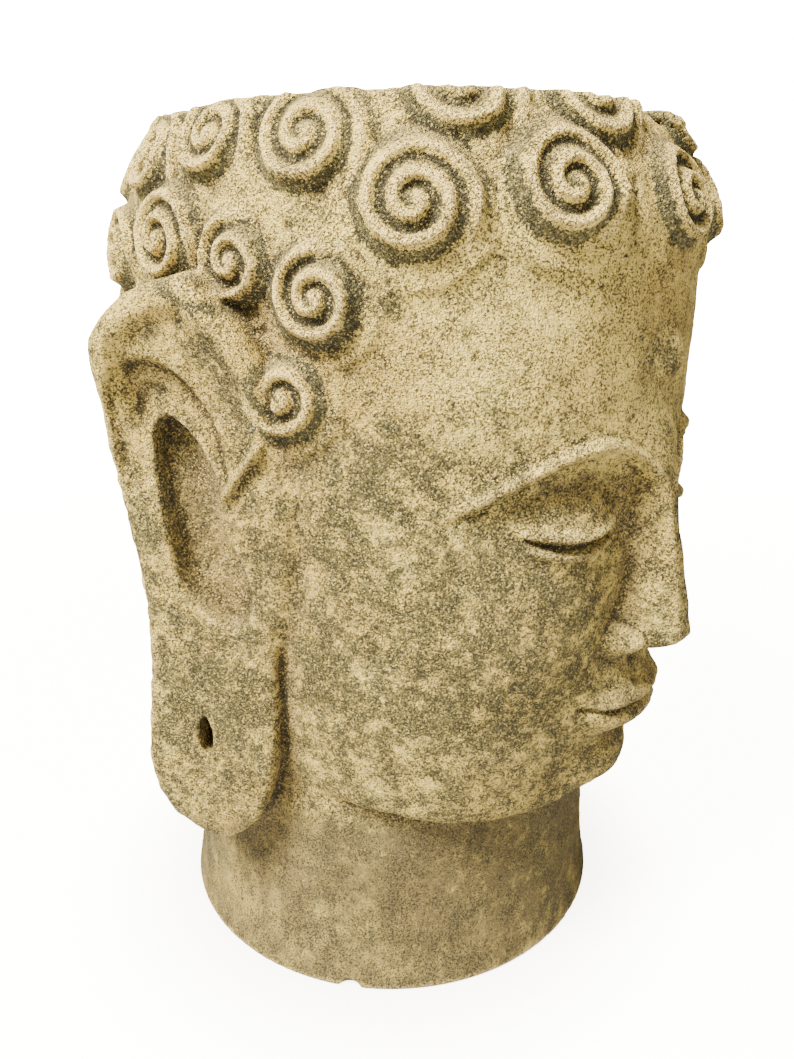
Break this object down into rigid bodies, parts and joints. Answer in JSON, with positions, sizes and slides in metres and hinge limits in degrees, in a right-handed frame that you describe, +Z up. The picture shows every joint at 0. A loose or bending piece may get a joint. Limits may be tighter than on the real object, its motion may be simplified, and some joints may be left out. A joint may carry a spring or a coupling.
{
  "type": "buddha head planter",
  "caption": "Hollow cast-stone planter in the shape of a calm buddha head with snail-shell curls and long ears, open at the top, on a round neck.",
  "frame": {"origin": "centre of the round foot, on the surface the planter stands on", "axes": "+Z up; the face looks along -Y; the figure's right side is at -X"},
  "size_m": [0.32, 0.3235, 0.407],
  "materials": {
    "cast_stone": "sandy, pitted, weathered cast stone with dark lichen in the hollows"
  },
  "bodies": {
    "root": {"head_planter": "cast_stone"}
  },
  "joints": []
}
